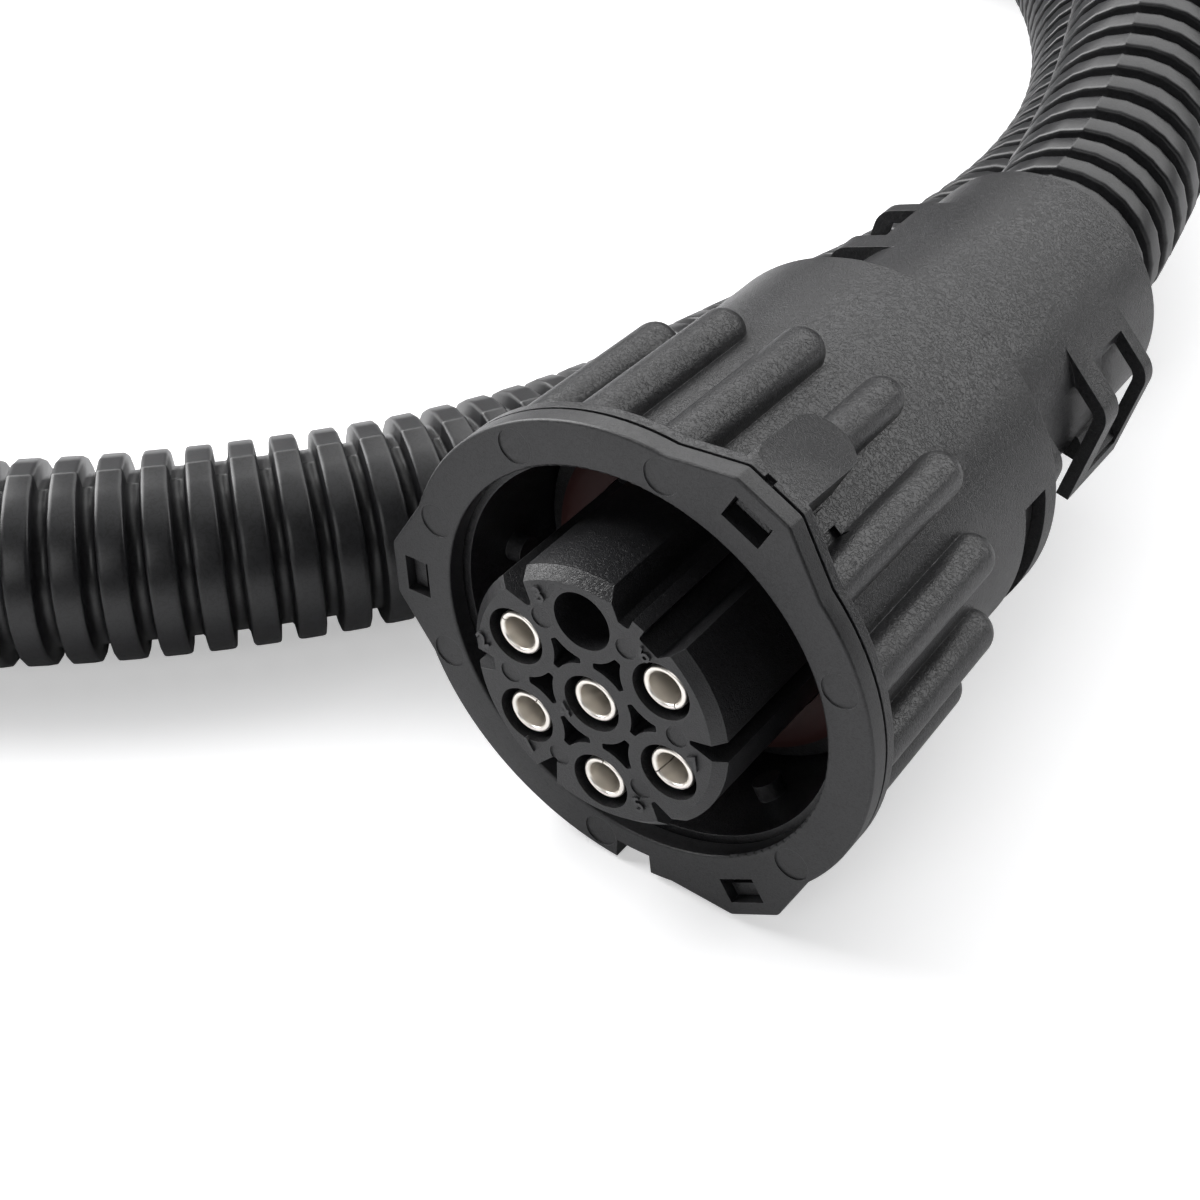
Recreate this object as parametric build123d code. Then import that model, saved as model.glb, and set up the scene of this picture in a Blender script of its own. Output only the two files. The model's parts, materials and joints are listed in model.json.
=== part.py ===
from build123d import *
import os
from math import cos, hypot, radians, sin, tan

# Seven-way round plug with a bayonet coupling ring, and its corrugated conduit.
# Millimetres. The origin is the centre of the front plate's face, on the plug's axis.
# The plug's axis lies along Y, with its mating face to -Y, and +Z is up.

# Fits
slip_gap = 0.1          # between pieces that slide together once and stay
running_gap = 0.3       # between the coupling ring and what it turns on
root_overlap = 0.2      # how deep a rib, pad or hook is rooted in what carries it
cut_margin = 1.0        # how far a cut runs on past what it cuts

# How the plug lies: turned about its own axis, as seen from the front
roll = 32.4

# Socket contacts
pin_bore = 2.5
contact_wall = 0.73
contact_funnel = 0.2
contact_funnel_depth = 1.5
contact_setback = 0.4
contact_length = 16.0
contact_bore_depth = 14.0
contact_seam = 0.1
contact_seam_length = 10.0
contact_seam_angles = (0.0, 120.0, 35.0, 60.0, 183.0, -85.0)    # round the circle
contact_collar_at = 11.2
contact_collar = 1.6
crimp_length = 5.0
crimp_wall = 0.5
crimp_stop = 0.8

# Lead wires and their seals
wire_d = 2.5
wire_seal_length = 7.0
wire_seal_ribs = 3
wire_seal_groove = 0.35
crest_start = 0.35
crest_end = 0.65
rear_bore_step = 0.2
wire_straight = 2.0
wire_bend = 16.0
bundle_r = 5.0

# Contact carrier
cavity_gap = 0.62
outer_cavities = 6
cavity_circle = 7.95
cavity_start = 64.0
carrier_wall = 1.49
nose_reach = 4.9
nose_chamfer = 0.9
web = 1.15
core_depth = 5.0
core_reach = 2.35
core_web = 1.2
core_corner = 0.2
ejector_mark_d = 1.9
mark_depth = 0.12
key_floor = 1.9
key_corner = 0.22
key_rib_height = 1.05
key_rib_angles = (30.0, 39.0)
keyways = (             # outer start, floor start, floor end, outer end; floor above cavity_circle
    (147.0, 148.5, 156.5, 159.0, 1.6),
    (206.0, 211.5, 214.5, 222.0, 0.85),
    (-89.0, -84.5, -81.5, -76.0, 1.4),
    (-34.0, -27.0, -24.5, -23.0, 1.2),
    (15.5, 20.0, 31.5, 31.5, key_floor),
    (37.5, 37.5, 43.2, 53.0, key_floor),
    (90.5, 95.5, 98.3, 108.5, 1.2),
)
cavity_names = (3, 2, 1, 5, 7, 6, 4)    # round the circle, then the middle one
empty_cavity = 3

# Interface seal
mating_depth = 11.2
seal_width = 3.2
seal_thick = 2.0
seal_chamfer = (1.07, 0.5)

# Coupling ring
mating_gap = 5.46
ring_wall = 1.5
ring_length = 24.2
ring_draft = 0.45
flange_reach = 3.1
flange_thick = 0.9
rib_count = 16
rib_start = 31.0
rib_width = 4.1
narrow_rib_width = 3.8
narrow_rib_end_margin = 0.6
rib_lift = 0.45
rib_end_margin = 1.0
stud_d = 2.6
stud_reach = 1.5
stud_depth = 8.0
groove_depth = 0.6
groove_width = 2.0
groove_setback = 2.3

# Front plate and the lugs it shares with the ring's flange
plate_thick = 1.7
plate_gap = 0.3
plate_lip = 0.6
plate_edge = 0.25
lug_angles = (-90.0, 30.0, 150.0)
lug_reach = 2.03
lug_flat = 5.1
lug_spread = 20.0
lug_corner = 0.8
window_width = 3.6
window_height = 2.4
window_margin = 2.3
hook_gap = 0.2
rim_notch = (-125.0, -115.6)
rim_notch_depth = 2.1
plate_mark_d = 3.1
plate_mark_angles = (50.0, 90.0, 130.0, 170.0, 230.0, 290.0, 350.0)
pad_length = 10.6
pad_width = 5.6
pad_turn = 1.2
pad_end_height = 2.3
lug_notch_angle = 32.0
lug_notch_d = 0.9
lug_notch_depth = 0.5

# A shallow recess in the ring's sleeve, and the thin raised patch beside it
recess_angles = (14.3, 17.3)
recess_start = 6.0
recess_end = 8.9
recess_depth = 0.6
patch_angles = (17.3, 22.0)
patch_start = 2.95
patch_end = 9.05
patch_height = 0.15

# Connector housing
pocket_wall = 2.7
shoulder_length = 2.8
collar_step = 1.0
collar_wall = 1.85
collar_length = 13.3
latch_angle = -46.0
slot_half_angle = 26.0
slot_length = 3.7
slot_margin = 2.0

# Carrier's rear body and its secondary lock
rear_body_length = 10.0
lock_thick = 2.3
lock_gap = 0.2

# Backshell
backshell_length = 32.6
backshell_flange = 2.4
neck_wall = 3.0
neck_taper = 0.5
neck_inner_wall = 1.8
grip_gap = 0.13
grip_length = 18.4
bell_length = 9.0
bell_flare = 0.7
stop_thick = 2.0
stop_height = 1.8
neck_edge = 0.4
tab_angle = 20.0
tab_split = 2.0
tab_reach = 0.7

# Latch loops that hold the two half shells together
loop_stand = 2.3
far_loop_stand = 1.6
loop_tangent = 57.0        # where a loop leaves the round shell, up from the split
loop_drop = 5.4
loop_thick = 1.3
loop_corner = 2.6
loop_start = 52.2
loop_length = 10.2
loop_window_start = 2.7
loop_window_length = 5.9
loop_window_root = 2.0
loop_end_bar = 1.9
small_loop_start = 39.0
small_loop_length = 4.6
small_loop_window = 1.9
small_loop_bar = 0.9
small_loop_drop = 1.0
small_loop_inset = 0.2
tooth_inset = 0.3
tooth_height = 2.5
tooth_land = 0.6

# Conduit and its far end
conduit_d = 19.54
floor_gap = 0.02
sleeve_wall = 1.4
sleeve_cover = 16.0
sleeve_land = 1.0
sleeve_nose = 8.0
sleeve_tip = 2.0
sleeve_nose_r = 6.2
tails = 6
tail_circle = 3.4
tail_length = 44.0
tail_lead = 0.2
tail_down = 0.63
tail_spread = 0.75
tail_pitch = 4.6
tail_ranks = (1.5, 2.5, 0.5, -0.5, -2.5, -1.5)
tail_bend = 10.0
ferrule_length = 7.0
ferrule_wall = 0.25
arc_share = 0.45        # share of the shorter run that each of the conduit's arcs takes

# Worked out from the sizes above
contact_r = pin_bore / 2 + contact_wall
cavity_r = contact_r + cavity_gap
rear_bore_r = cavity_r + rear_bore_step
wire_r = wire_d / 2
carrier_r = cavity_circle + cavity_r + carrier_wall
seal_inner_r = carrier_r + slip_gap
seal_outer_r = seal_inner_r + seal_width
ring_bore_r = carrier_r + mating_gap
core_r = ring_bore_r - running_gap
sleeve_r = ring_bore_r + ring_wall
sleeve_rear_r = sleeve_r - ring_draft
flange_r = sleeve_r + flange_reach
lug_r = flange_r + lug_reach
plate_bore_r = ring_bore_r + plate_lip
flange_front = plate_thick + plate_gap
flange_rear = flange_front + flange_thick
housing_front = mating_depth + seal_thick
shoulder_at = housing_front + shoulder_length
collar_front = ring_length + running_gap
collar_rear = collar_front + collar_length
collar_r = core_r + collar_step
collar_bore_r = collar_r - collar_wall
pocket_r = core_r - pocket_wall
body_r = pocket_r - slip_gap
carrier_rear = shoulder_at + rear_body_length
step_at = carrier_rear + lock_thick + lock_gap
slot_rear = collar_rear - slot_margin
slot_front = slot_rear - slot_length
contact_front = contact_setback - nose_reach
contact_rear = contact_front + contact_length
crimp_rear = contact_rear + crimp_length
wire_start = contact_rear + crimp_stop
seal_bore_front = crimp_rear + slip_gap
shell_front = step_at
shell_rear = collar_rear + backshell_length
conduit_r = conduit_d / 2
grip_r = conduit_r + grip_gap
neck_rear_r = grip_r + neck_wall
neck_front_r = neck_rear_r + neck_taper
neck_cavity_r = neck_rear_r - neck_inner_wall
conduit_start = shell_rear - grip_length
stop_front = conduit_start - stop_thick
shell_front_r = collar_bore_r - slip_gap
floor_z = -flange_r
conduit_z = floor_z + conduit_r + floor_gap
sleeve_r_out = conduit_r + sleeve_wall
loop_face = neck_front_r + loop_stand
far_loop_face = neck_front_r + far_loop_stand
stop_r = conduit_r - stop_height
cavity_pitch = 360 / outer_cavities
window_outer = plate_bore_r + window_margin + window_height
nose_at = sleeve_nose + sleeve_tip

# The conduit's route: out of the backshell, over its own inner strand, round the back,
# forward past the plug's left side and back under the first stretch
on_floor = conduit_z
route = [
    (0, conduit_start, 0), (0, conduit_start + 22, 0), (-3, 97, 4), (-10, 120, 8.4),
    (-20.5, 143, 9.8), (-36, 163.5, 9.8), (-57, 179, 6.8), (-82, 188, -2.5),
    (-109, 192.5, -10.8), (-139, 194, on_floor), (-170, 192, on_floor), (-200, 184, on_floor),
    (-227, 168.5, on_floor), (-249, 147, on_floor), (-265, 120, on_floor), (-274, 90, on_floor),
    (-274, 58, on_floor), (-263.5, 26, on_floor), (-244, -2, on_floor), (-216, -24, on_floor),
    (-183, -38, on_floor), (-147, -42.7, on_floor), (-111, -37.3, on_floor), (-77.5, -23, on_floor),
    (-49, -0.5, on_floor), (-30.5, 29, on_floor), (-21.5, 61, on_floor), (-14.3, 91, on_floor),
    (-16, 122, on_floor), (-27.5, 153, on_floor), (-47.5, 182, on_floor), (-75, 207, on_floor),
    (-109, 224, on_floor), (-146, 231.5, on_floor), (-183, 229.5, on_floor), (-219, 218, on_floor),
    (-251, 196, on_floor + 0.6), (-277, 167, floor_z + sleeve_r_out + floor_gap),
]

# Local axes of the plug: x to the right and y up as seen from the front, z out of the face
place = Rot(90, 0, 0) * Rot(0, 0, roll)
os.makedirs("parts", exist_ok=True)


def save(shape, name):
    export_step(shape, f"parts/{name}.step")


def polar(radius, angle):
    return (radius * cos(radians(angle)), radius * sin(radians(angle)))


def sector(inner, outer, start, end):
    """A piece of a flat ring between two angles."""
    middle = (start + end) / 2
    rim = ThreePointArc(polar(outer, start), polar(outer, middle), polar(outer, end))
    root = ThreePointArc(polar(inner, end), polar(inner, middle), polar(inner, start))
    sides = [Line(polar(outer, end), polar(inner, end)), Line(polar(inner, start), polar(outer, start))]
    return make_face([rim, sides[0], root, sides[1]])


def slab(face, front, rear):
    """A flat outline made solid between two depths behind the plate's face."""
    return extrude(Pos(0, 0, -rear) * face, rear - front)


def turned(points):
    """A solid of revolution from (radius, depth) corners."""
    return revolve(make_face(Polyline([(r, 0, -depth) for r, depth in points], close=True)), Axis.Z)


def hole(radius, front, rear):
    return Pos(0, 0, -rear) * extrude(Circle(radius), rear - front)


def cavity_places():
    """The centres of the outer cavities, then the middle one."""
    around = [polar(cavity_circle, cavity_start + cavity_pitch * k) for k in range(outer_cavities)]
    return around + [(0.0, 0.0)]


def lug_outline():
    """The round flange outline with its three flat-topped lugs."""
    outline = Circle(flange_r)
    for angle in lug_angles:
        foot = polar(flange_r, -lug_spread)
        corners = [(0, 0), foot, (lug_r, -lug_flat / 2), (lug_r, lug_flat / 2), (foot[0], -foot[1])]
        lug = make_face(Polyline(corners, close=True))
        tips = lug.vertices().group_by(Axis.X)[-1]
        outline += Rot(0, 0, angle) * fillet(tips, lug_corner)
    return outline


def lug_block(width, inner, outer, front, rear, angle):
    block = Pos((inner + outer) / 2, 0) * Rectangle(outer - inner, width)
    return Rot(0, 0, angle) * slab(block, front, rear)


def front_plate():
    plate = slab(lug_outline(), 0, plate_thick) - hole(plate_bore_r, 0, plate_thick)
    face_edges = plate.edges().group_by(Axis.Z)[-1]
    plate = fillet(face_edges, plate_edge)
    for angle in lug_angles:
        plate -= lug_block(window_width, window_outer - window_height, window_outer, 0, plate_thick, angle)
    notch = sector(flange_r - rim_notch_depth, lug_r, *rim_notch)
    plate -= slab(notch, 0, plate_thick)
    mark_circle = (plate_bore_r + flange_r) / 2
    for angle in plate_mark_angles:
        plate -= Pos(*polar(mark_circle, angle)) * hole(plate_mark_d / 2, 0, mark_depth)
    return plate


def grip_rib(width, end_margin, angle):
    """A round-backed rib that follows the sleeve's draft and has a round rear end."""
    radius = width / 2
    front = Vector(sleeve_r + rib_lift, 0, -flange_front - root_overlap)
    rear = Vector(sleeve_rear_r + rib_lift, 0, -(ring_length - end_margin - radius))
    length = (front - rear).length
    half = radius * sin(radians(45))
    outline = make_face([
        Line((0, 0, -radius), (0, 0, length)), Line((0, 0, length), (radius, 0, length)),
        Line((radius, 0, length), (radius, 0, 0)),
        ThreePointArc((radius, 0, 0), (half, 0, -half), (0, 0, -radius))])
    axis = Plane(origin=rear, x_dir=(-1, 0, 0), z_dir=front - rear)
    return Rot(0, 0, angle) * (axis * revolve(outline, Axis.Z))


def lug_pad(angle):
    """The raised pad behind a lug, sloping down from the lug's flat to a round end."""
    inner = sleeve_rear_r - running_gap
    front = flange_front + root_overlap
    end = flange_rear + pad_length
    half = pad_width / 2
    plan = make_face([Line((-half, -front), (half, -front)), Line((half, -front), (half, half - end)),
                      ThreePointArc((half, half - end), (0, -end), (-half, half - end)),
                      Line((-half, half - end), (-half, -front))])
    pad = Plane(origin=(inner, 0, 0), x_dir=(0, 1, 0), z_dir=(1, 0, 0)) * extrude(plan, lug_r - inner)
    outside = lug_r + cut_margin
    slope = make_face(Polyline([
        (outside, 0, -flange_rear), (lug_r, 0, -flange_rear),
        (sleeve_r + pad_end_height, 0, -end - cut_margin), (outside, 0, -end - cut_margin)], close=True))
    pad = Rot(0, 0, angle + pad_turn) * (pad - extrude(slope, pad_width, both=True))
    return pad & slab(lug_outline(), flange_front, end + cut_margin)


def coupling_ring():
    inside = core_r - cut_margin
    ring = turned([(inside, flange_front), (sleeve_r, flange_front), (sleeve_r, flange_rear),
                   (sleeve_rear_r, ring_length), (inside, ring_length)])
    ring += slab(lug_outline(), flange_front, flange_rear)
    ring += [lug_pad(angle) for angle in lug_angles]
    ribs = [(narrow_rib_width, narrow_rib_end_margin)] + [(rib_width, rib_end_margin)] * (rib_count - 1)
    ring += [grip_rib(*sizes, rib_start + 360 / rib_count * k) for k, sizes in enumerate(ribs)]
    patch = sector(sleeve_rear_r - root_overlap, sleeve_r + patch_height, *patch_angles)
    ring += slab(patch, patch_start, patch_end)
    recess = sector(sleeve_r - recess_depth, sleeve_r + cut_margin, *recess_angles)
    ring -= slab(recess, recess_start, recess_end)
    notch = Pos(*polar(lug_r, lug_notch_angle)) * hole(lug_notch_d / 2, 0, flange_front + lug_notch_depth)
    ring -= notch
    ring -= hole(ring_bore_r, 0, ring_length + cut_margin)
    groove_front = housing_front + groove_setback
    groove_r = ring_bore_r + groove_depth
    groove_rear = groove_front + groove_width
    ring -= turned([(inside, groove_front), (groove_r, groove_front),
                    (groove_r, groove_rear), (inside, groove_rear)])
    for angle in lug_angles:
        outer = window_outer - hook_gap
        hook = lug_block(window_width - 2 * hook_gap, outer - window_height / 2, outer,
                         plate_thick / 2, flange_front, angle)
        stud_foot = Rot(0, 0, angle) * Pos(ring_bore_r - stud_reach, 0, -stud_depth) * Rot(0, 90, 0)
        ring += hook + stud_foot * extrude(Circle(stud_d / 2), stud_reach + ring_wall / 2)
    return ring


def connector_housing():
    rim_r = ring_bore_r + groove_depth - running_gap
    rim_front = housing_front + groove_setback + running_gap
    rim_rear = rim_front + groove_width - 2 * running_gap
    housing = turned([
        (seal_inner_r, housing_front), (core_r, housing_front), (core_r, rim_front), (rim_r, rim_front),
        (rim_r, rim_rear), (core_r, rim_rear), (core_r, collar_front), (collar_r, collar_front),
        (collar_r, collar_rear), (collar_bore_r, collar_rear), (collar_bore_r, step_at),
        (pocket_r, step_at), (pocket_r, shoulder_at), (seal_inner_r, shoulder_at)])
    for side in (0, 180):
        middle = latch_angle + side
        slot = sector(collar_bore_r - cut_margin, collar_r + cut_margin,
                      middle - slot_half_angle, middle + slot_half_angle)
        housing -= slab(slot, slot_front, slot_rear)
    return housing


def keyway(outer_start, floor_start, floor_end, outer_end, floor_above_circle):
    """A tapered slot down the nose, its floor set out from the cavities' circle."""
    floor_r = cavity_circle + floor_above_circle
    outside = carrier_r + cut_margin
    corners = [polar(outside, outer_start), polar(floor_r, floor_start),
               polar(floor_r, floor_end), polar(outside, outer_end)]
    slot = make_face(Polyline(corners, close=True))
    floor = [corner for corner in slot.vertices() if hypot(corner.X, corner.Y) < carrier_r]
    return fillet(floor, key_corner)


def nose_outline():
    """The nose's front outline: blocks and petals parted by the keyways."""
    outline = Circle(carrier_r)
    for sizes in keyways:
        outline -= keyway(*sizes)
    rib_top = cavity_circle + key_floor + key_rib_height
    return outline - sector(rib_top, carrier_r + cut_margin, *key_rib_angles)


def core_outs():
    """Six small hollows with concave sides, each between the centre and two outer cavities."""
    pad_r = cavity_r + web
    hollows = Circle(pad_r + core_reach) - Circle(pad_r)
    for k, (x, y) in enumerate(cavity_places()[:outer_cavities]):
        hollows -= Pos(x, y) * Circle(pad_r)
        spoke = Pos(cavity_circle / 2, 0) * Rectangle(cavity_circle, core_web)
        hollows -= Rot(0, 0, cavity_start + cavity_pitch * k) * spoke
    return fillet(hollows.vertices(), core_corner)


def contact_carrier():
    nose = slab(nose_outline(), -nose_reach, mating_depth)
    chamfered = turned([(0, -nose_reach), (carrier_r - nose_chamfer, -nose_reach),
                        (carrier_r, -nose_reach + nose_chamfer), (carrier_r, shoulder_at),
                        (body_r, shoulder_at), (body_r, carrier_rear), (0, carrier_rear)])
    round_body = hole(body_r + cut_margin, mating_depth, carrier_rear)
    carrier = chamfered & (nose + round_body)
    carrier -= slab(core_outs(), -nose_reach, -nose_reach + core_depth)
    for x, y in cavity_places():
        carrier -= Pos(x, y) * hole(cavity_r, -nose_reach, carrier_rear)
        carrier -= Pos(x, y) * hole(rear_bore_r, seal_bore_front, carrier_rear)
    for k in range(outer_cavities):
        mark = Pos(*polar(cavity_circle, cavity_start + cavity_pitch * (k + 0.5)))
        carrier -= mark * hole(ejector_mark_d / 2, -nose_reach, -nose_reach + mark_depth)
    return carrier


def socket_contact():
    """A socket with a round lip and a funnel mouth, a seating collar and a crimp barrel."""
    bore_r = pin_bore / 2
    mouth_r = bore_r + contact_funnel
    lip_r = (contact_r - mouth_r) / 2
    lip_end = contact_front + lip_r
    bore_end = contact_front + contact_bore_depth
    collar_at = contact_front + contact_collar_at
    collar_end = collar_at + contact_collar
    crimp_r = wire_r + crimp_wall
    seat_r = cavity_r - slip_gap
    corners = [
        (contact_r, lip_end), (contact_r, collar_at), (seat_r, collar_at),
        (seat_r, collar_end), (contact_r, collar_end), (contact_r, contact_rear),
        (crimp_r, contact_rear), (crimp_r, crimp_rear), (wire_r, crimp_rear), (wire_r, wire_start),
        (0, wire_start), (0, bore_end), (bore_r, bore_end),
        (bore_r, contact_front + contact_funnel_depth), (mouth_r, lip_end)]
    outline = Polyline([(r, 0, -depth) for r, depth in corners])
    crest = (mouth_r + lip_r, 0, -contact_front)
    lip = ThreePointArc((mouth_r, 0, -lip_end), crest, (contact_r, 0, -lip_end))
    return revolve(make_face(outline.edges() + [lip]), Axis.Z)


def rolled_seam(angle):
    """The fine gap down a contact's barrel where its rolled sheet meets."""
    seam = Pos(contact_r, 0) * Rectangle(2 * contact_r, contact_seam)
    return Rot(0, 0, angle) * slab(seam, contact_front, contact_front + contact_seam_length)


def wire_seal(inner_r):
    """A ribbed rubber seal that fills the rear of a cavity; inner_r of 0 makes a blanking plug."""
    front = seal_bore_front + running_gap
    crest_r = rear_bore_r - slip_gap / 2
    valley_r = crest_r - wire_seal_groove
    pitch = wire_seal_length / wire_seal_ribs
    outline = [(inner_r, front)]
    for k in range(wire_seal_ribs):
        start = front + pitch * k
        outline += [(valley_r, start), (crest_r, start + pitch * crest_start),
                    (crest_r, start + pitch * crest_end)]
    rear = front + wire_seal_length
    outline += [(valley_r, rear), (inner_r, rear)]
    return turned(outline)


def secondary_lock():
    plate = hole(body_r, carrier_rear, carrier_rear + lock_thick)
    for x, y in cavity_places():
        plate -= Pos(x, y) * hole(wire_r + running_gap, carrier_rear, carrier_rear + lock_thick)
    return plate


def interface_seal():
    """The flat ring on the nose that the mating shell presses on, with a raised lip."""
    across, down = seal_chamfer
    return turned([(seal_inner_r, mating_depth), (seal_outer_r - across, mating_depth),
                   (seal_outer_r, mating_depth + down), (seal_outer_r, housing_front),
                   (seal_inner_r, housing_front)])


def lead_wire(x, y):
    """A wire from its crimp, gathered in towards the others and into the conduit's mouth."""
    if hypot(x, y) < wire_r:
        return hole(wire_r, wire_start, conduit_start)
    gather = bundle_r / cavity_circle
    straight = carrier_rear + lock_thick + wire_straight
    path = FilletPolyline([(x, y, -wire_start), (x, y, -straight),
                           (x * gather, y * gather, -(straight + wire_bend)),
                           (x * gather, y * gather, -conduit_start)], radius=wire_bend)
    return swept(path, wire_r)


def tangent_corner(radius, face_at):
    """Where the line that leaves a circle at the loops' tangent angle reaches a flank."""
    return (face_at, (radius - face_at * cos(radians(loop_tangent))) / sin(radians(loop_tangent)))


def latch_band(face_at, start, length, drop):
    """A band that leaves the round shell at a tangent, turns a corner and runs down the flank."""
    inner_face = face_at - loop_thick
    inner_r = neck_rear_r - loop_thick
    outer = FilletPolyline([polar(neck_rear_r, loop_tangent), tangent_corner(neck_rear_r, face_at),
                            (face_at, -drop)], radius=loop_corner)
    inner = FilletPolyline([(inner_face, -drop), tangent_corner(inner_r, inner_face),
                            polar(inner_r, loop_tangent)], radius=loop_corner - loop_thick)
    ends = [Line(outer @ 1, inner @ 0), Line(inner @ 1, outer @ 0)]
    profile = make_face(outer.edges() + [ends[0]] + inner.edges() + [ends[1]])
    return slab(profile, start, start + length)


def loop_window(inner, low, start, length):
    """The window through a latch loop, from its inner face out past its flank and up past its top."""
    outer = loop_face + cut_margin
    high = neck_front_r
    window = Pos((inner + outer) / 2, (low + high) / 2) * Rectangle(outer - inner, high - low)
    return slab(window, start, start + length)


def latch_loop(face_at):
    """The strap of the upper half shell with the window that drops over the lower one's tooth."""
    band = latch_band(face_at, loop_start, loop_length, loop_drop)
    inner = neck_front_r - loop_window_root
    return band - loop_window(inner, loop_end_bar - loop_drop,
                              loop_start + loop_window_start, loop_window_length)


def small_loop(face_at):
    """The little loop beside the collar."""
    band = latch_band(face_at - small_loop_inset, small_loop_start, small_loop_length, small_loop_drop)
    return band - loop_window(neck_front_r, small_loop_bar,
                              small_loop_start + small_loop_bar, small_loop_window)


def latch_tooth(face_at):
    """The ramped catch on the lower half shell that stands in the loop's window."""
    start = loop_start + loop_window_start + hook_gap
    end = start + loop_window_length - 2 * hook_gap
    foot = loop_end_bar - loop_drop + hook_gap
    tip = face_at - tooth_inset
    ramp = make_face(Polyline([(neck_cavity_r, foot), (tip, foot), (tip, foot + tooth_land),
                               (neck_front_r, foot + tooth_height),
                               (neck_cavity_r, foot + tooth_height)], close=True))
    return slab(ramp, start, end)


def whole_backshell():
    flange_end = shell_front + backshell_flange
    band_start = slot_rear + running_gap
    band_end = collar_rear - hook_gap
    return turned([
        (neck_cavity_r, shell_front), (shell_front_r, shell_front), (shell_front_r, flange_end),
        (neck_front_r, flange_end), (neck_front_r, band_start), (shell_front_r, band_start),
        (shell_front_r, band_end), (neck_front_r, band_end), (neck_rear_r, shell_rear - neck_edge),
        (neck_rear_r - neck_edge, shell_rear), (grip_r + bell_flare, shell_rear),
        (grip_r, shell_rear - bell_length), (grip_r, conduit_start), (stop_r, conduit_start),
        (stop_r, stop_front), (neck_cavity_r, stop_front)])


def half_space(upper):
    size = 2 * collar_rear + 2 * backshell_length
    shift = size / 2 if upper else -size / 2
    return Pos(0, shift, -size / 4) * Box(size, size, 2 * size)


def snap_tabs(upper):
    """Two tabs of a half shell that stand in the collar's slots."""
    tabs = []
    for start in (tab_split, 180 - tab_split - tab_angle):
        turn = start if upper else start + 180
        tab = sector(neck_front_r - root_overlap, collar_bore_r + tab_reach, turn, turn + tab_angle)
        tabs.append(slab(tab, slot_front + hook_gap, slot_rear - hook_gap))
    return tabs


def backshell_half(upper):
    half = whole_backshell() & half_space(upper)
    for tab in snap_tabs(upper):
        half += tab
    for face_at, far_side in ((loop_face, False), (far_loop_face, True)):
        pieces = latch_loop(face_at) + small_loop(face_at) if upper else latch_tooth(face_at)
        half += mirror(pieces, Plane.YZ) if far_side else pieces
    half -= hole(neck_cavity_r, shell_front, stop_front)
    half -= hole(grip_r, conduit_start, shell_rear - bell_length)
    return Rot(0, 0, latch_angle) * half


def cord_radii(points):
    """Each corner's arc: a share of the shorter run over the tangent of half the turn."""
    radii = []
    for before, corner, after in zip(points, points[1:], points[2:]):
        first = Vector(*corner) - Vector(*before)
        second = Vector(*after) - Vector(*corner)
        half_turn = radians(first.get_angle(second)) / 2
        radii.append(arc_share * min(first.length, second.length) / tan(half_turn))
    return radii


def swept(path, radius):
    return sweep(Plane(origin=path @ 0, z_dir=path % 0) * Circle(radius), path=path)


radii = cord_radii(route)
conduit_path = FilletPolyline(route, radius=radii)
conduit = swept(conduit_path, conduit_r)
print("conduit radii", [round(radius, 1) for radius in radii])
print("conduit length", round(conduit_path.length, 1), "smallest radius", round(min(radii), 1))
print("volume over section times length", conduit.volume / (Circle(conduit_r).area * conduit_path.length))

# The conduit's far end: a rubber sleeve with the wires' bared tails
far_end = Plane(origin=route[-1], x_dir=(0, 0, 1), z_dir=Vector(*route[-1]) - Vector(*route[-2]))


def end_sleeve():
    bore = conduit_r + slip_gap
    profile = [(bore, -sleeve_cover), (sleeve_r_out, -sleeve_cover), (sleeve_r_out, sleeve_land),
               (sleeve_nose_r, sleeve_nose), (sleeve_nose_r, nose_at), (0, nose_at), (0, 0), (bore, 0)]
    sleeve = revolve(make_face(Polyline([(r, 0, z) for r, z in profile], close=True)), Axis.Z)
    return far_end * sleeve


def tail_path(k):
    """A bared wire: out of the sleeve's nose, spreading and coming down to the floor."""
    up, across = polar(tail_circle, 360 / tails * (k + 0.5))
    start = far_end.from_local_coords((up, across, nose_at))
    ahead = far_end.z_dir * tail_length
    spread = far_end.y_dir * (tail_ranks[k] * tail_pitch - across)
    down = Vector(0, 0, floor_z + wire_r + floor_gap - start.Z)
    points = [start, start + ahead * tail_lead, start + ahead * tail_down + spread * tail_spread + down,
              start + ahead + spread + down]
    return FilletPolyline([tuple(point) for point in points], radius=tail_bend)


def ferrule(path):
    end = path @ 1
    return Plane(origin=end, z_dir=path % 1) * extrude(Circle(wire_r - ferrule_wall), ferrule_length)


save(place * front_plate(), "front_plate")
save(place * coupling_ring(), "coupling_ring")
save(place * connector_housing(), "connector_housing")
save(place * contact_carrier(), "contact_carrier")
save(place * secondary_lock(), "secondary_lock")
save(place * interface_seal(), "interface_seal")
for k, (number, (x, y)) in enumerate(zip(cavity_names, cavity_places())):
    if number == empty_cavity:
        save(place * Pos(x, y) * wire_seal(0), "cavity_plug")
        continue
    contact = socket_contact()
    if k < outer_cavities:
        contact -= rolled_seam(contact_seam_angles[k])
    save(place * Pos(x, y) * contact, f"socket_contact_{number}")
    save(place * Pos(x, y) * wire_seal(wire_r), f"wire_seal_{number}")
    save(place * lead_wire(x, y), f"lead_wire_{number}")
save(place * backshell_half(True), "backshell_upper")
save(place * backshell_half(False), "backshell_lower")
save(conduit, "conduit")
save(end_sleeve(), "conduit_end_sleeve")
ferrules = []
for k in range(tails):
    path = tail_path(k)
    save(swept(path, wire_r), f"wire_tail_{k + 1}")
    ferrules.append(ferrule(path))
save(Compound(children=ferrules), "wire_ferrules")
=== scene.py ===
import json
from math import cos, radians, sin

import bpy
import numpy as np
from mathutils import Matrix, Vector


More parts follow.
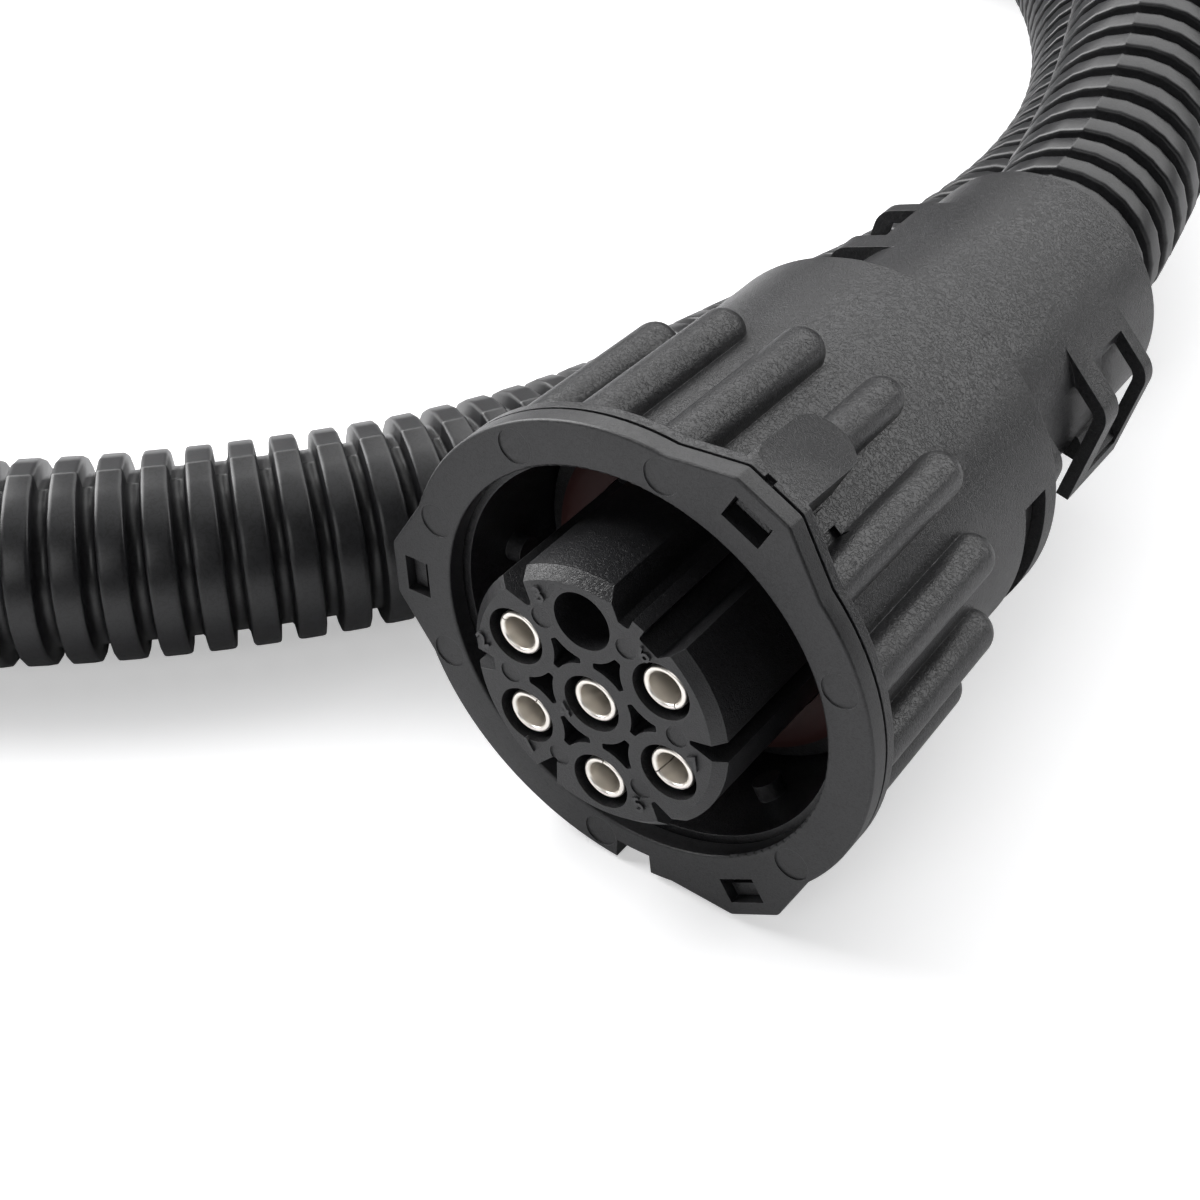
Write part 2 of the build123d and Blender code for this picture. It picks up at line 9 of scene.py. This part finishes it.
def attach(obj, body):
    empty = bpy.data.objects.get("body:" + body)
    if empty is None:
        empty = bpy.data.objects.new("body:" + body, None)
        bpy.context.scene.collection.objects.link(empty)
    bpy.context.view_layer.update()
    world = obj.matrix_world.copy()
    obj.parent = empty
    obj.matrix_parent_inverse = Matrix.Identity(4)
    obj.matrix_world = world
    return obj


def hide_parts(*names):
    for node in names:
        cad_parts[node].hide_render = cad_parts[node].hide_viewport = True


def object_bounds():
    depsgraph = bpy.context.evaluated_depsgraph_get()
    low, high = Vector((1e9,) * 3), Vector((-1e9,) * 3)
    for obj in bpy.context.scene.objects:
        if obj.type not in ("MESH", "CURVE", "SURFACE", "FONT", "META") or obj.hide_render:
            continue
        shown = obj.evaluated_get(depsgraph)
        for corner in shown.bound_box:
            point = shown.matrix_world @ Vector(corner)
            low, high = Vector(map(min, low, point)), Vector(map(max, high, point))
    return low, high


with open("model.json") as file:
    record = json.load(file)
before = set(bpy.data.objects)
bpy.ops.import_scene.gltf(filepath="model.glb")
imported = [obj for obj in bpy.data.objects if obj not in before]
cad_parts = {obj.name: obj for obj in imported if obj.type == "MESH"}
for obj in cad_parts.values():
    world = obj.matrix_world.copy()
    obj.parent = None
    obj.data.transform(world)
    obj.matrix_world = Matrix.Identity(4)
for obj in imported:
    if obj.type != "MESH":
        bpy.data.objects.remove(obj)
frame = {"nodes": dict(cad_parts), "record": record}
cad_box = [list(corner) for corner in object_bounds()]

MM = 0.001
ROLL = 32.4                 # how far the plug is turned about its own axis, in degrees
FLOOR_Z = cad_box[0][2]

# Camera, solved from the photograph
CAMERA_AT = (0.0672, -0.0963, 0.1052)
CAMERA_AHEAD = (-0.451, 0.621, -0.641)
CAMERA_LENS = 60.08
SENSOR_WIDTH = 36.0
NEAREST_SEEN = 5 * MM

# Conduit
CONDUIT_R = 9.77 * MM
RIDGE_PITCH = 4.02 * MM
GROOVE_DEPTH = 1.7 * MM
SEAM_ANGLE = 262.0          # the mould seams run along the conduit at this angle and opposite it
SEAM_WIDTH = 1.1            # in degrees, to each side
SEAM_HEIGHT = 0.09 * MM
SPOKES = 24
CURVE_STEPS = 24
FLOOR_LINE = -12.31         # height of the middle line where the conduit lies on the floor

# The source's route in millimetres, with the six points beside the plug moved to follow the photograph
ROUTE_MM = [
    (0, 52, 0), (0, 74, 0), (-3, 97, 4), (-10, 120, 8.4),
    (-20.5, 143, 9.8), (-36, 163.5, 9.8), (-57, 179, 6.8), (-82, 188, -2.5),
    (-109, 192.5, -10.8), (-139, 194, FLOOR_LINE), (-170, 192, FLOOR_LINE), (-200, 184, FLOOR_LINE),
    (-227, 168.5, FLOOR_LINE), (-249, 147, FLOOR_LINE), (-265, 120, FLOOR_LINE), (-274, 90, FLOOR_LINE),
    (-274, 58, FLOOR_LINE), (-263.5, 26, FLOOR_LINE), (-244, -2, FLOOR_LINE), (-216, -24, FLOOR_LINE),
    (-183, -38, FLOOR_LINE), (-147, -42.7, FLOOR_LINE), (-111, -37.3, FLOOR_LINE),
    (-77.9, -22.6, FLOOR_LINE), (-49.7, 0.5, FLOOR_LINE), (-29.3, 28.3, FLOOR_LINE),
    (-21.9, 59, FLOOR_LINE), (-14.3, 90, FLOOR_LINE), (-16.2, 122, FLOOR_LINE),
    (-27.5, 153, FLOOR_LINE), (-47.5, 182, FLOOR_LINE), (-75, 207, FLOOR_LINE),
    (-109, 224, FLOOR_LINE), (-146, 231.5, FLOOR_LINE), (-183, 229.5, FLOOR_LINE),
    (-219, 218, FLOOR_LINE), (-251, 196, FLOOR_LINE + 0.6), (-277, 167, -10.9),
]

# Numerals on the contact carrier: share of the opening's radius, and angle as seen from the front
OPENING_R = 18.1 * MM
NOSE_FRONT = 4.9 * MM
NUMERAL_HEIGHT = 1.9 * MM
NUMERAL_RAISE = 0.2 * MM
NUMERAL_SWELL = 0.03 * MM
NUMERALS = {
    "3": (0.546, 86.6), "2": (0.586, 141.0), "6": (0.50, 24.9), "7": (0.539, -37.7),
    "5": (0.523, -92.7), "1": (0.547, -160.5), "4": (0.175, -174.5),
}

# Moulded plastics: colour, colour of the painted edge highlight, roughness, how fine the grain is, its
# height and the reach of the rounded edges with their painted highlight, the last two in millimetres
PLASTICS = {
    "conduit_plastic": ((0.011, 0.011, 0.0125), (0.06, 0.06, 0.063), 0.38, 1500, 0.001, 0.1),
    "ring_nylon": ((0.014, 0.014, 0.0155), (0.085, 0.085, 0.09), 0.37, 2600, 0.016, 0.1),
    "plate_nylon": ((0.018, 0.018, 0.0195), (0.12, 0.12, 0.125), 0.42, 3000, 0.006, 0.06),
    "carrier_nylon": ((0.014, 0.014, 0.0155), (0.10, 0.10, 0.105), 0.38, 3600, 0.012, 0.05),
    "numeral_nylon": ((0.03, 0.03, 0.032), (0.16, 0.16, 0.165), 0.34, 3600, 0.001, 0.02),
}
NYLON_IOR = 1.5

# Other finishes
CONTACT_MOUTH = 5.2 * MM    # where the contacts' lips stand along the plug's axis
BORE_SHADE_DEPTH = 3 * MM         # over which painted shade darkens their bores behind the lips
NOISE_LOW, NOISE_HIGH = 0.3, 0.7    # nearly all of a noise lies between these
BEVEL_SAMPLES = 6
SMOOTH_UNDER = 32.0         # edges under this many degrees are shaded smooth
WELD_WITHIN = 0.002 * MM

# Soft boxes: name, place, aim, size in metres and power in watts
SOFT_BOXES = [
    ("left", (-0.8, -0.05, 0.45), (0, 0.03, 0), (0.7, 0.7), 14.5),
    ("above_back", (-0.1, 0.7, 0.7), (0, 0.03, 0), (0.9, 0.7), 5.8),
    ("back_right", (0.5, 0.7, 0.45), (0, 0.03, 0), (0.5, 0.5), 2.5),
    ("back_left", (-0.6, 0.45, 0.5), (0, 0.03, 0), (0.4, 0.4), 2.0),
    ("front", (0.1, -0.75, 0.5), (0, 0, 0), (0.5, 0.4), 1.6),
    ("top", (0, 0.05, 0.9), (0, 0.03, 0), (0.7, 0.7), 1.5),
]
ROOM_LIGHT = 0.024          # the world's strength, apart from what the camera and clear materials see
WHITE = (1.0, 1.0, 1.0)

# Table top. Its glow is for the camera alone, and rises to white between two distances from the plug, so
# the weaker glow nearer the plug is a painted shade round it
TABLE_REACH = 3.0
TABLE_COLOUR = (0.86, 0.86, 0.87)
TABLE_ROUGHNESS = 0.6
FLOOR_GLOW = 0.44
GLOW_NEAR, GLOW_FAR = 0.45, 1.1

# The shader's sockets, by the names that Surface.finish takes
SOCKETS = {"base_color": "Base Color", "roughness": "Roughness", "metallic": "Metallic", "ior": "IOR",
           "normal": "Normal"}


class Nodes:
    """A node tree under construction. A value given to it is plain or another node's output."""

    def __init__(self, tree):
        self.tree = tree
        tree.nodes.clear()

    def fill(self, node, values):
        for key, value in values.items():
            socket = node.inputs[key]
            if isinstance(value, bpy.types.NodeSocket):
                self.tree.links.new(value, socket)
            elif socket.type == "RGBA":
                socket.default_value = (*value, 1.0)
            else:
                socket.default_value = value

    def node(self, kind, values=None, **settings):
        made = self.tree.nodes.new(kind)
        for key, value in settings.items():
            setattr(made, key, value)
        self.fill(made, values or {})
        return made

    def arithmetic(self, operation, *values):
        made = self.node("ShaderNodeMath", dict(enumerate(values)), operation=operation)
        return made.outputs["Value"]

    def spread(self, value, low, high, to_low=0.0, to_high=1.0):
        """Stretches one range of values over another, and stops at its ends."""
        made = self.node("ShaderNodeMapRange", {"Value": value, "From Min": low, "From Max": high,
                                                "To Min": to_low, "To Max": to_high})
        return made.outputs["Result"]


class Surface(Nodes):
    """A material under construction, placed by the object's own coordinates."""

    def __init__(self, name):
        self.material = bpy.data.materials.new(name)
        self.material.use_nodes = True
        super().__init__(self.material.node_tree)
        self.shader = self.node("ShaderNodeBsdfPrincipled")
        self.end = self.node("ShaderNodeOutputMaterial", {"Surface": self.shader.outputs["BSDF"]})
        self.place = self.node("ShaderNodeTexCoord").outputs["Object"]

    def noise(self, scale, detail=2.0, roughness=0.5, distortion=0.0):
        made = self.node("ShaderNodeTexNoise", {"Vector": self.place, "Scale": scale, "Detail": detail,
                                                "Roughness": roughness, "Distortion": distortion})
        return made.outputs["Fac"]

    def mix(self, factor, first, second):
        """A colour between two. A Mix node's sockets go by number, because their names repeat."""
        made = self.node("ShaderNodeMix", {0: factor, 6: first, 7: second}, data_type="RGBA")
        return made.outputs[2]

    def mottle(self, noise, colour, darker, lighter):
        """A colour that goes darker and lighter with a noise."""
        return self.mix(noise, shade(colour, darker), shade(colour, lighter))

    def haze(self, noise, roughness, glossier, duller):
        """A roughness that goes down and up with a noise."""
        return self.spread(noise, NOISE_LOW, NOISE_HIGH, roughness - glossier, roughness + duller)

    def bump(self, height, strength, distance, below=None):
        made = self.node("ShaderNodeBump", {"Height": height, "Strength": strength, "Distance": distance})
        if below is not None:
            self.fill(made, {"Normal": below})
        return made.outputs["Normal"]

    def edges(self, radius):
        """The normal with edges rounded, and a mask of them: how far it leaves the true normal."""
        rounded = self.node("ShaderNodeBevel", {"Radius": radius}, samples=BEVEL_SAMPLES).outputs["Normal"]
        true = self.node("ShaderNodeNewGeometry").outputs["Normal"]
        product = self.node("ShaderNodeVectorMath", {0: rounded, 1: true}, operation="DOT_PRODUCT")
        return rounded, self.spread(product.outputs["Value"], 0.98, 0.75)

    def finish(self, **looks):
        """Gives the shader its looks, such as base_color, and returns the material."""
        self.fill(self.shader, {SOCKETS[key]: value for key, value in looks.items()})
        return self.material


def shade(colour, share):
    return tuple(min(1.0, share * c) for c in colour)


def moulded(name):
    """Moulded plastic: a spark-eroded grain of short wandering creases with painted shade in them, cloudy
    gloss, and a painted highlight along the edges.
    """
    colour, highlight_colour, roughness, grain, grain_height, edge_reach = PLASTICS[name]
    surface = Surface(name)
    cloud = surface.noise(90, detail=3, roughness=0.6)
    coarse = surface.noise(grain, detail=1.5, distortion=0.8)
    fine = surface.noise(2.2 * grain, detail=1.0)
    rounded, edges = surface.edges(edge_reach * MM)
    apart = surface.arithmetic("ABSOLUTE", surface.arithmetic("SUBTRACT", coarse, 0.5))
    creases = surface.spread(apart, 0.0, 0.07)
    # Painted shade: the colour falls to 0.35 of itself along the creases, over a random mottle
    crease_shaded = surface.mix(creases, shade(colour, 0.35), surface.mottle(cloud, colour, 0.86, 1.14))
    # Painted highlight: a lighter colour along the rounded edges, its strength varied by the cloud
    edge_highlight = surface.arithmetic("MULTIPLY", edges, surface.spread(cloud, 0.35, 0.65, 0.3, 0.9))
    creased = surface.bump(creases, 1.0, grain_height * MM, rounded)
    return surface.finish(base_color=surface.mix(edge_highlight, crease_shaded, highlight_colour),
                          roughness=surface.haze(cloud, roughness, 0.04, 0.05), ior=NYLON_IOR,
                          normal=surface.bump(fine, 1.0, grain_height * MM, creased))


def plated(name, colour, roughness, bore_shade_colour=None):
    """Satin plated metal with a handling haze, whose bore may be given a painted shade that darkens it
    inward.
    """
    surface = Surface(name)
    smear = surface.noise(700, detail=3, roughness=0.6)
    if bore_shade_colour:
        split = surface.node("ShaderNodeSeparateXYZ", {"Vector": surface.place})
        inward = surface.spread(split.outputs["Y"], CONTACT_MOUTH, CONTACT_MOUTH + BORE_SHADE_DEPTH)
        # Painted shade: the bore's colour darkens from the lips inward
        colour = surface.mix(inward, colour, bore_shade_colour)
    return surface.finish(base_color=colour, roughness=surface.haze(smear, roughness, 0.04, 0.06),
                          metallic=1.0)


def rubber(name, colour, roughness):
    """Moulded rubber: matt, faintly mottled, with a soft bloom."""
    surface = Surface(name)
    bloom = surface.noise(300, detail=3, roughness=0.6)
    fine = surface.noise(3200)
    return surface.finish(base_color=surface.mottle(bloom, colour, 0.8, 1.25),
                          roughness=surface.haze(bloom, roughness, 0.06, 0.06),
                          normal=surface.bump(fine, 0.3, 0.03 * MM))


def insulation(name, colour):
    """Extruded wire insulation: smooth, with faint drawing marks."""
    surface = Surface(name)
    fine = surface.noise(1500)
    return surface.finish(base_color=surface.mottle(fine, colour, 0.85, 1.1), roughness=0.4,
                          normal=surface.bump(fine, 0.2, 0.02 * MM))


def add(name, data):
    made = bpy.data.objects.new(name, data)
    bpy.context.scene.collection.objects.link(made)
    return made


def look_along(made, direction):
    made.rotation_euler = direction.to_track_quat("-Z", "Y").to_euler()


def camera():
    data = bpy.data.cameras.new("view")
    data.lens = CAMERA_LENS
    data.sensor_width = SENSOR_WIDTH
    data.clip_start = NEAREST_SEEN
    made = add("view", data)
    made.location = CAMERA_AT
    look_along(made, Vector(CAMERA_AHEAD))
    bpy.context.scene.camera = made


def soft_box(name, at, aim, size, power):
    data = bpy.data.lights.new(name, "AREA")
    data.shape = "RECTANGLE"
    data.size, data.size_y = size
    data.energy = power
    made = add(name, data)
    made.location = at
    look_along(made, Vector(aim) - Vector(at))


def studio():
    """Soft boxes all round, and a dim white world that the camera sees bright."""
    for box in SOFT_BOXES:
        soft_box(*box)
    world = bpy.data.worlds.new("studio")
    bpy.context.scene.world = world
    world.use_nodes = True
    sky = Nodes(world.node_tree)
    path = sky.node("ShaderNodeLightPath").outputs
    seen = sky.arithmetic("MAXIMUM", path["Is Camera Ray"], path["Is Transmission Ray"])
    strength = sky.spread(seen, 0.0, 1.0, ROOM_LIGHT, 1.0)
    back = sky.node("ShaderNodeBackground", {"Color": WHITE, "Strength": strength})
    sky.node("ShaderNodeOutputWorld", {"Surface": back.outputs["Background"]})


def studio_floor():
    """A white table top that keeps the shadows, with a camera glow that is weaker near the plug: a painted
    shade round it.
    """
    low, high = -TABLE_REACH, TABLE_REACH
    mesh = bpy.data.meshes.new("floor")
    mesh.from_pydata([(x, y, FLOOR_Z) for x, y in ((low, low), (high, low), (high, high), (low, high))],
                     [], [(0, 1, 2, 3)])
    made = add("floor", mesh)
    surface = Surface("white_table")
    reach = surface.node("ShaderNodeVectorMath", {0: surface.place}, operation="LENGTH")
    # The glow is weaker near the plug, which paints shade on the floor round it
    away = surface.spread(reach.outputs["Value"], GLOW_NEAR, GLOW_FAR, FLOOR_GLOW, 1.0)
    path = surface.node("ShaderNodeLightPath").outputs
    seen = surface.arithmetic("MULTIPLY", away, path["Is Camera Ray"])
    glow = surface.node("ShaderNodeEmission", {"Strength": seen})
    both = surface.node("ShaderNodeAddShader", {0: surface.shader.outputs["BSDF"],
                                                1: glow.outputs["Emission"]})
    surface.fill(surface.end, {"Surface": both.outputs["Shader"]})
    mesh.materials.append(surface.finish(base_color=TABLE_COLOUR, roughness=TABLE_ROUGHNESS))


def route_curve():
    """The conduit's line: one smooth spline over the route's points."""
    data = bpy.data.curves.new("conduit_line", "CURVE")
    data.dimensions = "3D"
    data.resolution_u = CURVE_STEPS
    spline = data.splines.new("NURBS")
    spline.points.add(len(ROUTE_MM) - 1)
    for point, at in zip(spline.points, ROUTE_MM):
        point.co = (at[0] * MM, at[1] * MM, at[2] * MM, 1.0)
    spline.order_u = 3
    spline.use_endpoint_u = True
    return data


def line_points(data):
    """The points that the curve passes, in order."""
    carrier = bpy.data.objects.new("line_carrier", data)
    mesh = bpy.data.meshes.new_from_object(carrier)
    points = np.array([vertex.co for vertex in mesh.vertices], float)
    bpy.data.objects.remove(carrier)
    bpy.data.meshes.remove(mesh)
    return points


def run_lengths(points):
    return np.linalg.norm(np.diff(points, axis=0), axis=1)


def along(points, distances):
    """Places, directions and carried side vectors at given distances along a line."""
    reach = np.concatenate([[0.0], np.cumsum(run_lengths(points))])
    at = np.column_stack([np.interp(distances, reach, points[:, k]) for k in range(3)])
    ahead = np.gradient(at, axis=0)
    ahead /= np.linalg.norm(ahead, axis=1)[:, None]
    side = np.zeros_like(at)
    side[0] = (1.0, 0.0, 0.0)
    for k in range(1, len(at)):
        turned = side[k - 1] - ahead[k] * side[k - 1].dot(ahead[k])
        side[k] = turned / np.linalg.norm(turned)
    return at, ahead, side


def ridge_profile():
    """(share of the pitch, radius) of one groove and one ridge, with rounded corners."""
    crest, floor = CONDUIT_R, CONDUIT_R - GROOVE_DEPTH
    return [(0.0, floor), (0.26, floor), (0.30, floor + 0.25 * MM), (0.335, crest - 0.38 * MM),
            (0.35, crest - 0.16 * MM), (0.385, crest - 0.035 * MM), (0.45, crest), (0.85, crest),
            (0.915, crest - 0.035 * MM), (0.95, crest - 0.16 * MM), (0.965, crest - 0.38 * MM)]


def spoke_angles():
    """Angles round the tube, and how far the skin stands out at each: three close ones at a seam."""
    angles, lift = [], []
    for k in range(SPOKES):
        angle = SEAM_ANGLE + 360 / SPOKES * k
        if k % (SPOKES // 2):
            angles.append(angle)
            lift.append(0.0)
        else:
            angles += [angle - SEAM_WIDTH, angle, angle + SEAM_WIDTH]
            lift += [0.0, SEAM_HEIGHT, 0.0]
    return np.radians(angles), np.array(lift)


def conduit_mesh(points):
    """The corrugated tube, ring by ring along the line."""
    total = run_lengths(points).sum()
    profile = ridge_profile()
    count = int(total / RIDGE_PITCH)
    pitch = total / count
    distances = [(k + share) * pitch for k in range(count) for share, radius in profile] + [total]
    radii = [radius for share, radius in profile] * count + [profile[0][1]]
    at, ahead, side = along(points, np.array(distances))
    other = np.cross(ahead, side)
    angles, lift = spoke_angles()
    outward = np.cos(angles)[:, None] * side[:, None, :] + np.sin(angles)[:, None] * other[:, None, :]
    reach = np.array(radii)[:, None] + lift
    rings = at[:, None, :] + reach[..., None] * outward
    index = np.arange(reach.size).reshape(reach.shape)
    low, high = index[:-1], index[1:]
    sides = np.stack([low, np.roll(low, -1, 1), np.roll(high, -1, 1), high], axis=-1).reshape(-1, 4)
    ends = [index[0][::-1].tolist(), index[-1].tolist()]
    mesh = bpy.data.meshes.new("corrugated_conduit")
    mesh.from_pydata(rings.reshape(-1, 3).tolist(), [], sides.tolist() + ends)
    mesh.update()
    mesh.polygons.foreach_set("use_smooth", [True] * len(mesh.polygons))
    return mesh


def conduit():
    """The conduit with its ridges, in place of the plain CAD tube."""
    points = line_points(route_curve())
    made = add("corrugated_conduit", conduit_mesh(points))
    made.data.materials.append(moulded("conduit_plastic"))
    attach(made, "plug")
    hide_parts("conduit")


def soft_corners():
    """Geometry nodes that shade a mesh smooth across its shallow edges and leave the sharp ones."""
    group = bpy.data.node_groups.new("smooth_shallow_edges", "GeometryNodeTree")
    for way in ("INPUT", "OUTPUT"):
        group.interface.new_socket("Geometry", in_out=way, socket_type="NodeSocketGeometry")
    steps = Nodes(group)
    entry = steps.node("NodeGroupInput")
    angle = steps.node("GeometryNodeInputMeshEdgeAngle").outputs["Unsigned Angle"]
    shallow = steps.node("FunctionNodeCompare", {"A": angle, "B": radians(SMOOTH_UNDER)},
                         operation="LESS_THAN")
    faces = steps.node("GeometryNodeSetShadeSmooth", {"Geometry": entry.outputs["Geometry"]})
    edges = steps.node("GeometryNodeSetShadeSmooth", {"Geometry": faces.outputs["Geometry"],
                                                      "Shade Smooth": shallow.outputs["Result"]},
                       domain="EDGE")
    steps.node("NodeGroupOutput", {"Geometry": edges.outputs["Geometry"]})
    return group


def finishes():
    """The CAD nodes' materials: by node where one slot needs several, and by slot."""
    shell, plate, insulator = moulded("ring_nylon"), moulded("plate_nylon"), moulded("carrier_nylon")
    by_node = {"front_plate": plate, "contact_carrier": insulator, "secondary_lock": insulator}
    by_slot = {
        "black_nylon": shell,
        "black_conduit": shell,
        "dark_red_silicone": rubber("seal_rubber", (0.034, 0.0075, 0.0065), 0.6),
        "black_rubber": rubber("sleeve_rubber", (0.025, 0.025, 0.027), 0.65),
        # The nickel's third colour is the painted shade deep in the bores
        "nickel_plated_contact": plated("bright_nickel", (0.95, 0.91, 0.85), 0.34, (0.20, 0.165, 0.13)),
        "tinned_copper": plated("bright_tin", (0.75, 0.74, 0.72), 0.3),
    }
    for material in frame["record"]["materials"]:
        slot = material["slot"]
        if slot.endswith("_wire"):
            by_slot[slot] = insulation(slot + "_skin", tuple(material["base_color"]))
    return by_node, by_slot


def dress_cad_nodes():
    """Gives every carried CAD node its finish."""
    by_node, by_slot = finishes()
    slots = {part["node"]: part["material_slot"] for part in frame["record"]["subparts"]}
    corners = soft_corners()
    for name, made in frame["nodes"].items():
        made.modifiers.new("join_faces", "WELD").merge_threshold = WELD_WITHIN
        made.modifiers.new("smooth", "NODES").node_group = corners
        made.data.materials.clear()
        made.data.materials.append(by_node.get(name, by_slot[slots[name]]))


def numeral(text, at):
    """A small raised number, as moulded into the carrier's face, which is turned with the plug."""
    data = bpy.data.curves.new("numeral_" + text, "FONT")
    data.body = text
    data.size = NUMERAL_HEIGHT
    data.extrude = NUMERAL_RAISE
    data.offset = NUMERAL_SWELL
    data.align_x = "CENTER"
    data.align_y = "CENTER"
    carrier = add("numeral_carrier", data)
    bpy.context.view_layer.update()
    mesh = bpy.data.meshes.new_from_object(carrier)
    bpy.data.objects.remove(carrier)
    plug = Matrix.Rotation(radians(90), 4, "X") @ Matrix.Rotation(radians(ROLL), 4, "Z")
    mesh.transform(plug @ Matrix.Translation(at))
    return add("numeral_" + text, mesh)


def numerals():
    finish = moulded("numeral_nylon")
    for text, (share, angle) in NUMERALS.items():
        radius = share * OPENING_R
        made = numeral(text, (radius * cos(radians(angle)), radius * sin(radians(angle)), NOSE_FRONT))
        made.data.materials.append(finish)
        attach(made, "plug")


camera()
conduit()
dress_cad_nodes()
numerals()
studio()
studio_floor()
bpy.context.scene.view_settings.view_transform = "Standard"
